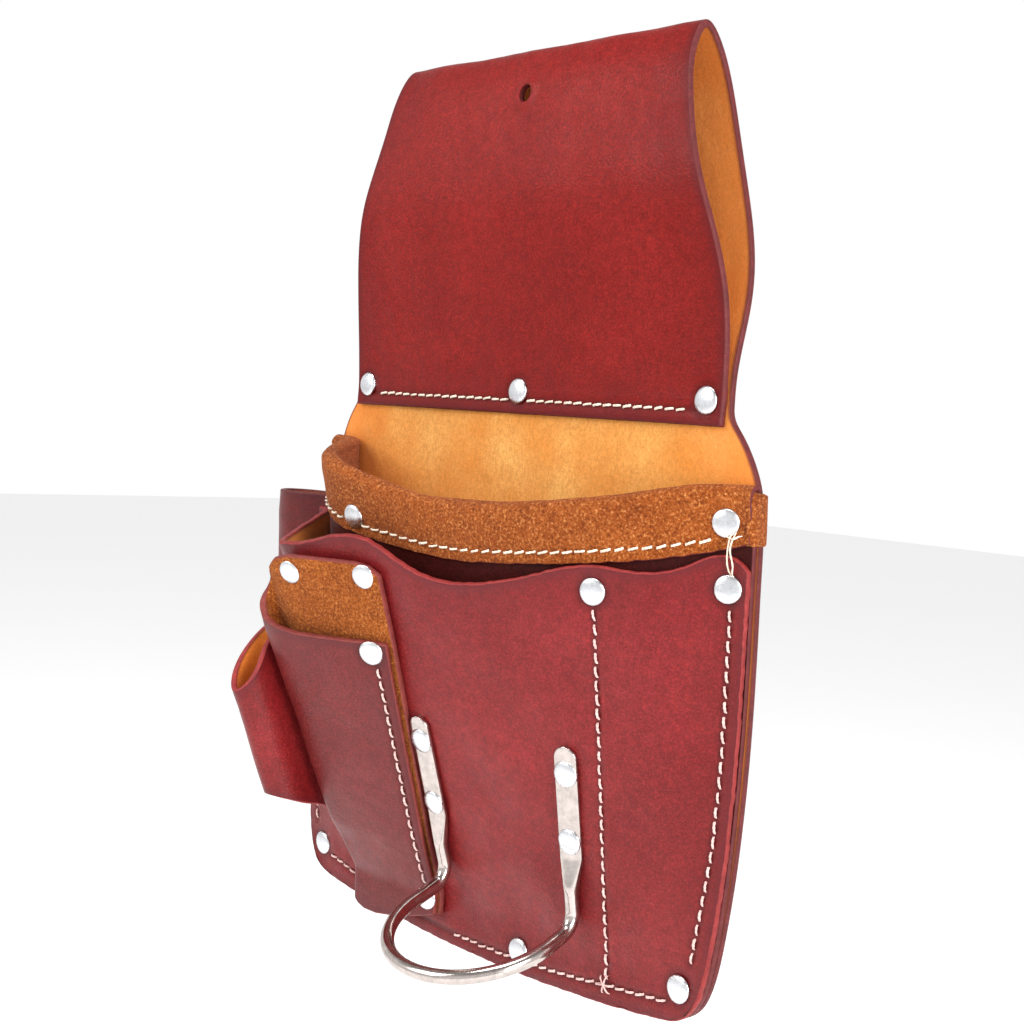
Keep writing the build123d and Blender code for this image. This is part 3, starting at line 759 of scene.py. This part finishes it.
def front_loop_piece():
    ring = path(FRONT_RING, 120)
    rows = []
    for x, ahead in ring:
        z = np.linspace(-188.1 + 0.28 * ahead, -98 - 0.952 * ahead, 46)
        rows.append(np.stack([np.full(46, x), front_y(np.full(46, -70.0), z) - ahead, z], 1))
    p = np.stack(rows)
    n = grid_normals(p, (60, 20))
    return leather_sheet("front_strap_loop", p, LEATHER - 0.3, [GRAIN_FRONT, FLESH_LOOP, EDGE_RED],
                         ["front_tool_loop"], out=n, seed=61, wander=0.2)


def side_loop_piece():
    ring = path(SIDE_RING, 130)
    z = np.linspace(-137, -52, 52)
    p = np.stack([np.stack([np.full(52, x), y + bow(max(x, -124.5), z), z], 1) for x, y in ring])
    n = grid_normals(p, (30, 20))
    # Its grain side is the darker copy of the burgundy leather: painted shade.
    return leather_sheet("side_strap_loop", p, LEATHER, [GRAIN_SIDE_PAINTED_SHADE, FLESH_LOOP, EDGE_DARK],
                         ["side_tool_loop"], out=n, seed=71, wander=0.3,
                         rivets=[np.array([-118, -8.3, -57.5])])


# ---- hammer loop ----
def fillet(points, radii):
    """Polyline with rounded corners, sampled at about every 0.8 mm."""
    step = 0.8
    out = [points[0]]
    for before, here, after, radius in zip(points, points[1:], points[2:], radii):
        a, b = unit(before - here), unit(after - here)
        angle = math.acos(float(np.clip(a @ b, -1, 1)))
        back = radius / math.tan(angle / 2)
        start, end = here + a * back, here + b * back
        middle = here + unit(a + b) * (radius / math.sin(angle / 2))
        sweep = math.pi - angle
        u, v = unit(start - middle), unit(np.cross(np.cross(start - middle, end - middle), start - middle))
        for t in np.linspace(0, sweep, max(6, int(radius * sweep / step))):
            out.append(middle + radius * (u * math.cos(t) + v * math.sin(t)))
    out.append(points[-1])
    q = np.array(out)
    s = lengths(q)
    return resample(q, int(s[-1] / step) + 1)


TAB_PLACES = (-12.3, 59.5)
TAB_RIVETS = [-142, -168.3]


def hammer_piece():
    """Steel wire bent into a loop, its ends flattened into riveted tabs."""
    forward = unit(np.array([0.117, -1, -0.333]))
    legs = []
    for x in TAB_PLACES:
        (upper, lower), (facing, _) = on(front_y, np.array([x, x]), np.array(TAB_RIVETS))
        down = unit(lower - upper)
        out = unit(facing - down * (facing @ down))
        legs.append((upper, lower, down, out))
    flat = 0.4 + 1.1  # gap behind the tab and half the tab's thickness
    starts = [lower + down * 18 + out * 3.2 for _, lower, down, out in legs]
    corners = [s + leg[2] * 16 for s, leg in zip(starts, legs)]
    tips = [c + forward * 54 for c in corners]
    bend = np.linalg.norm(tips[1] - tips[0]) / 2 - 0.3
    wire = fillet([starts[0], corners[0], tips[0], tips[1], corners[1], starts[1]], [8, bend, bend, 8])
    def tab(leg, start):
        upper, lower, down, out = leg
        top = upper - down * 10.8 + out * flat
        low = lower + down * 6 + out * flat
        line = resample(np.array([top, low]), 50)
        neck = path([lower + down * 6 + out * flat, lower + down * 12 + out * (flat + 0.7), start], 14)
        return np.concatenate([line, neck[1:-1]])
    first, last = tab(legs[0], starts[0]), tab(legs[1], starts[1])
    centre = np.concatenate([first, wire, last[::-1]])
    s = lengths(centre)
    far = s[-1] - s
    near = np.minimum(s, far)
    r_end = 5.0
    half_w = np.interp(near, [0, 44, 50, 57], [5.0, 5.0, 3.9, 2.8])
    half_t = np.interp(near, [0, 44, 50, 57], [1.1, 1.1, 1.9, 2.8])
    power = np.interp(near, [0, 44, 57], [7.0, 6.0, 2.0])
    cap = np.sqrt(np.clip(1 - (1 - np.minimum(near / r_end, 1)) ** 2, 0.0005, 1))
    half_w = half_w * np.where(near < r_end, cap, 1)
    tangent = unit(np.gradient(centre, axis=0))
    outward = legs[0][3]
    rings = []
    phi = np.linspace(0, 2 * math.pi, 28, endpoint=False)
    for k in range(len(centre)):
        outward = unit(outward - tangent[k] * (outward @ tangent[k]))
        if k >= len(centre) - len(last):
            goal = legs[1][3] - tangent[k] * (legs[1][3] @ tangent[k])
            outward = unit(outward + 0.5 * unit(goal) * (1 if goal @ outward > 0 else -1))
        across = np.cross(tangent[k], outward)
        c, sn = np.cos(phi), np.sin(phi)
        e = 2 / power[k]
        ring = centre[k] + across * (half_w[k] * np.sign(c) * np.abs(c) ** e)[:, None] \
            + outward * (half_t[k] * np.sign(sn) * np.abs(sn) ** e)[:, None]
        rings.append(ring)
    verts = np.concatenate(rings)
    m, count = len(phi), len(rings)
    faces = ring_faces(0, count, m)
    verts = np.concatenate([verts, rings[0].mean(0)[None], rings[-1].mean(0)[None]])
    faces += [(i, count * m, (i + 1) % m) for i in range(m)]
    faces += [((count - 1) * m + (i + 1) % m, count * m + 1, (count - 1) * m + i) for i in range(m)]
    faces = [f[::-1] for f in faces]
    return make("hammer_wire", verts, faces, [STEEL], ["hammer_loop"])


# ---- rivets ----
def clusters(node, radius):
    """The separate rivets in one CAD node: for each, its seat and the way it faces."""
    v = np.array([tuple(p.co) for p in NODES[node].data.vertices]) * 1000 + np.array([0, 0, CROWN])
    reach = 17  # wider than a rivet, narrower than the gap to its neighbour
    found = []
    while len(v):
        grow = np.zeros(len(v), bool)
        grow[0] = True
        for _ in range(6):
            centre = v[grow].mean(0)
            grow = np.linalg.norm(v - centre, axis=1) < reach
        found.append(v[grow])
        v = v[~grow]
    seats = []
    for pts in found:
        q = np.unique(np.round(pts, 3), axis=0)
        mean = q.mean(0)
        values, vectors = np.linalg.eigh(np.cov((q - mean).T))
        gaps = [abs(values[0] - values[1]), abs(values[1] - values[2])]
        axis = vectors[:, 2] if gaps[0] < gaps[1] else vectors[:, 0]
        along = (q - mean) @ axis
        off = np.linalg.norm(q - mean - along[:, None] * axis, axis=1)
        rim = off > radius * 0.97
        seat = mean + axis * along[rim].mean()
        rise, fall = along.max() - along[rim].mean(), along[rim].mean() - along.min()
        upward = rise > fall if node.endswith("caps") else rise < fall
        seats.append((seat, axis if upward else -axis))
    return seats


def rivet_mesh(node, radius, rise):
    """Low domed heads with a rolled rim, a little uneven as hammered rivets are."""
    profile = [(0.0, 1.0), (0.12, 0.995), (0.25, 0.975), (0.4, 0.93), (0.54, 0.86), (0.67, 0.77),
               (0.78, 0.665), (0.86, 0.56), (0.915, 0.455), (0.955, 0.34), (0.985, 0.2), (1.0, 0.04),
               (0.995, -0.12), (0.97, -0.3), (0.9, -0.42), (0.0, -0.42)]
    verts, faces = [], []
    m = 40
    for seat, facing in clusters(node, radius):
        a = unit(np.cross(facing, [0.3, 0.2, 1]))
        b = np.cross(facing, a)
        tilt = RNG.normal(0, 0.02, 2)
        base = len(verts)
        for r, h in profile:
            for i in range(m):
                t = 2 * math.pi * i / m
                wob = 1 + 0.012 * math.sin(3 * t + seat[0]) * r
                lean = tilt[0] * math.cos(t) + tilt[1] * math.sin(t)
                height = h * rise + lean * r * radius * (h > 0) * 0.5
                verts.append(seat + (a * math.cos(t) + b * math.sin(t)) * r * radius * wob + facing * height)
        faces += ring_faces(base, len(profile), m)
    verts = np.array(verts)
    return make(node + "_nickel", verts, faces, [NICKEL], [node])


# ---- thread ----
def stitch_row(name, places, node, material, skip=(), seed=1, tails=()):
    """Row of sewn stitches: each a short twisted arch of thread whose ends go down into the leather.

    places gives (points, normals) densely along the seam.
    """
    rng = np.random.default_rng(seed)
    points, normals = places
    s = lengths(points)
    def place(line, d):
        return np.array([np.interp(d, s, line[:, j]) for j in range(3)])
    count = int(round(s[-1] / STITCH_PITCH))
    verts, faces = [], []
    m, steps = 10, 15
    for k in range(count):
        middle = (k + 0.5) * s[-1] / count
        at = place(points, middle)
        if any(np.linalg.norm(at - spot) < reach for spot, reach in skip):
            continue
        span = STITCH_LENGTH * rng.uniform(0.92, 1.06)
        slant = rng.normal(0.32, 0.10)
        shift = rng.normal(0, 0.10)
        base = len(verts)
        fat = THREAD_RADIUS * rng.uniform(0.92, 1.12)
        phase = rng.uniform(0, 6.28)
        for i in range(steps):
            t = i / (steps - 1)
            d = middle + (t - 0.5) * span
            here = place(points, d)
            n = unit(place(normals, d))
            fwd = unit(place(points, d + 0.5) - place(points, d - 0.5))
            side = np.cross(n, fwd)
            high = -1.0 + 1.42 * math.sin(math.pi * t) ** 0.42
            centre = here + n * high + side * (slant * (t - 0.5) * 2 + shift)
            for j in range(m):
                a = 2 * math.pi * j / m
                r = fat * (1 + 0.16 * math.cos(2 * (a - 9.0 * t) + phase))
                if i in (0, steps - 1):
                    r *= 0.6
                verts.append(centre + side * r * math.cos(a) * 1.05 + n * r * math.sin(a) * 0.9)
        faces += ring_faces(base, steps, m)
        faces.append(tuple(base + j for j in range(m))[::-1])
        faces.append(tuple(base + (steps - 1) * m + j for j in range(m)))
    for tail in tails:
        tube(verts, faces, tail, THREAD_RADIUS * 0.7, m)
    return make(name, np.array(verts), faces, [material], [node])


def tube(verts, faces, line, radius, m):
    """Adds a loose length of twisted thread along a line."""
    base = len(verts)
    tangent = unit(np.gradient(line, axis=0))
    side = unit(np.cross(tangent[0], [0.3, 1, 0.2]))
    for k, c in enumerate(line):
        side = unit(side - tangent[k] * (side @ tangent[k]))
        other = np.cross(tangent[k], side)
        taper = min(1, 0.35 + 4 * min(k, len(line) - 1 - k) / len(line))
        for j in range(m):
            a = 2 * math.pi * j / m
            r = radius * taper * (1 + 0.14 * math.cos(2 * a - 1.1 * k))
            verts.append(c + side * r * math.cos(a) + other * r * math.sin(a))
    faces += ring_faces(base, len(line), m)
    faces.append(tuple(base + j for j in range(m))[::-1])
    faces.append(tuple(base + (len(line) - 1) * m + j for j in range(m)))


def seam_on(surface, points, count=400, sign=1):
    xz = path(points, count)
    pos, n = on(surface, xz[:, 0], xz[:, 1])
    return pos, n * sign


def loose_end():
    """Double tail of thread hanging from the right end of the band's seam, knotted at its top."""
    x0, y0, z0 = on(band_y, [118.4], [-46.5])[0][0]
    x1, y1, z1 = on(front_y, [119.0], [-60.5])[0][0]
    tails = []
    for offset, sway in ((-0.75, 0.5), (0.75, -0.35)):
        mid = [((x0 + x1) / 2 + offset * 1.3 + sway, min(y0, y1) - 3.0, -52),
               (x1 + offset - sway, y1 - 1.9, -57.5)]
        tails.append(path([(x0 + offset, y0 - 0.2, z0 + 1), (x0 + offset, y0 - 1.7, z0 - 1), *mid,
                           (x1 + offset * 0.5, y1 - 0.9, z1), (x1 + offset * 0.4, y1 + 0.6, z1 - 1)], 40))
    tails.append(path([(x0 - 4.2, y0 + 0.4, z0 - 0.6), (x0 - 2, y0 - 1.5, z0 - 1.0),
                       (x0 + 1.2, y0 - 2.2, z0 - 1.4), (x0 + 2.4, y0 - 1.2, z0 - 0.5),
                       (x0 + 3.0, y0 + 0.4, z0 - 0.2)], 24))
    return tails


def cross_tack(surface, x, z):
    """Three strands crossed over the foot of a seam."""
    tails = []
    for dx, dz in ((4.2, 0.7), (2.6, -3.0), (0.9, 3.6)):
        ends = on(surface, [x - dx, x, x + dx], [z - dz, z, z + dz])[0]
        sunk = [end + [0, 0.7, 0] for end in (ends[0], ends[2])]
        near = [end * 0.75 + ends[1] * 0.25 - [0, 0.9, 0] for end in (ends[0], ends[2])]
        tails.append(path([sunk[0], near[0], ends[1] - [0, 1.1, 0], near[1], sunk[1]], 22))
    return tails


def all_pieces():
    back_piece()
    main_piece()
    band_piece()
    band_end_piece()
    front_piece()
    plier_piece()
    front_loop_piece()
    side_loop_piece()
    hammer_piece()
    for node in [n for n in NODES if n.endswith("_rivets")]:
        rivet_mesh(node, RIVET_HEAD, RIVET_DOME)
    for node in [n for n in NODES if n.endswith("_rivet_caps")]:
        rivet_mesh(node, RIVET_CAP, RIVET_DOME)
    keep = [(spot, 6.6) for name in ("panel_edge", "divider") for spot in spots(name, front_y)]
    right = [(104, -218.2), (74, -221.8), (38, -225.6), (0, -227.3), (-15, -227.3)]
    left = [(-84, -220), (-94, -217.5), (-103, -215.8)]
    for name, line, count, seed in (("right", SIDE_R, 400, 2), ("left", SIDE_L, 400, 3),
                                    ("bottom_right", right, 400, 4), ("bottom_left", left, 80, 5)):
        stitch_row(f"seam_{name}", seam_on(front_y, line, count), f"{name}_seam", THREAD_PINK, keep,
                   seed=seed)
    stitch_row("seam_divider", seam_on(front_y, DIVIDER), "divider_seam", THREAD_PINK, keep, seed=6,
               tails=cross_tack(front_y, 73.7, -221.5))
    keep_back = [(spot, 6.6) for spot in spots("panel_edge", back_y)]
    for name, line, seed in (("right", SIDE_R, 12), ("bottom_right", right, 13), ("bottom_left", left, 14),
                             ("left", [(-118.8, -143), (-118.5, -160), (-114, -202)], 15)):
        stitch_row(f"seam_{name}_rear", seam_on(back_y, line, 300, -1), f"{name}_seam_behind", THREAD_PINK,
                   keep_back, seed=seed)
    flap = lambda x, z: np.full_like(x, FLAP_FACE)
    keep_flap = [(np.array([x, FLAP_FACE, 0.0]), reach) for x, reach in ((-100, 7.6), (0, 6.8), (100, 9.6))]
    stitch_row("seam_flap", seam_on(flap, FLAP_SEAM), "flap_seam", THREAD_PALE, keep_flap, seed=7)
    keep_flap = [(np.array([x, 0.0, 0.0]), 6.8) for x in (-100, 0, 100)]
    behind = lambda x, z: np.zeros_like(x)
    stitch_row("seam_flap_rear", seam_on(behind, FLAP_SEAM, 300, -1), "flap_seam_behind", THREAD_PALE,
               keep_flap, seed=8)
    keep_band = [(spot, 6.8) for name in ("band", "band_left") for spot in spots(name, main_y)]
    stitch_row("seam_band", seam_on(band_y, band_line()), "band_seam", THREAD_PALE, keep_band, seed=9,
               tails=loose_end())
    zs = np.linspace(-208, -114, 200)
    pos = np.array([plier_point(0.09, z) for z in zs])
    step = np.array([plier_point(0.13, z) for z in zs]) - pos
    n = unit(np.cross(np.gradient(pos, axis=0), step))
    n = n * np.where(n[:, 1:2] > 0, -1, 1)
    stitch_row("seam_plier_pocket", (pos, n), "plier_pocket_seam", THREAD_PINK, seed=10)


all_pieces()


# ---- light, floor and camera ----
def place_camera():
    """The photo's camera: where it stands, which way it looks and its lens."""
    yaw, pitch, roll = math.radians(47.5), math.radians(3.46), math.radians(3.77)
    ahead = np.array([-math.sin(yaw) * math.cos(pitch), math.cos(yaw) * math.cos(pitch), -math.sin(pitch)])
    right = np.array([math.cos(yaw), math.sin(yaw), 0])
    up = np.cross(right, ahead)
    right, up = math.cos(roll) * right + math.sin(roll) * up, -math.sin(roll) * right + math.cos(roll) * up
    data = bpy.data.cameras.new("camera")
    data.sensor_width = 36.0
    data.lens = 55.93359375
    data.clip_start = 0.01
    cam = add("camera", data)
    rot = Matrix([[right[i], up[i], -ahead[i]] for i in range(3)]).to_4x4()
    cam.matrix_world = Matrix.Translation(to_row([476.18, -440.56, -9.93])) @ rot
    bpy.context.scene.camera = cam


def soft_light(name, place, aim, size, power):
    data = bpy.data.lights.new(name, "AREA")
    data.shape = "RECTANGLE"
    data.size, data.size_y = size
    data.energy = power
    lamp = add(name, data)
    lamp.location = place
    lamp.rotation_euler = (Vector(aim) - Vector(place)).to_track_quat("-Z", "Y").to_euler()


def studio():
    """White surroundings and the three lights."""
    world = bpy.data.worlds.new("studio")
    world.use_nodes = True
    tree = world.node_tree
    coord = tree.nodes.new("ShaderNodeTexCoord")
    split = tree.nodes.new("ShaderNodeSeparateXYZ")
    ramp = tree.nodes.new("ShaderNodeMapRange")
    for key, number in (("From Min", 0.30), ("From Max", 0.75), ("To Min", 1.0), ("To Max", 0.35)):
        ramp.inputs[key].default_value = number
    tree.links.new(coord.outputs["Generated"], split.inputs[0])
    tree.links.new(split.outputs["Z"], ramp.inputs["Value"])
    back = tree.nodes["Background"]
    back.inputs["Color"].default_value = (1, 1, 1, 1)
    tree.links.new(ramp.outputs["Result"], back.inputs["Strength"])
    bpy.context.scene.world = world
    soft_light("key", (-0.55, -1.25, 0.55), (0, 0, -0.16), (0.9, 0.9), 13.5)
    soft_light("side", (1.42, -0.28, 0.15), (0, 0, -0.10), (0.5, 1.0), 22)
    soft_light("top", (0.1, -0.3, 1.2), (0, 0, -0.1), (0.8, 0.5), 9.5)
    bpy.context.scene.view_settings.view_transform = "Standard"


def floor():
    mesh = bpy.data.meshes.new("floor")
    mesh.from_pydata([(-6, -6, -0.62), (6, -6, -0.62), (6, 6, -0.62), (-6, 6, -0.62)], [], [(0, 1, 2, 3)])
    obj = add("floor", mesh)
    m = Nodes("pale_floor")
    m.set(Roughness=0.9, Specular_IOR_Level=0.1, Emission_Color=(1, 1, 1, 1), Emission_Strength=0.34)
    m.feed("Base Color", m.mix(m.noise(6, 3), (0.97, 0.97, 0.97), (0.95, 0.95, 0.95)))
    mesh.materials.append(m.mat)


place_camera()
studio()
floor()
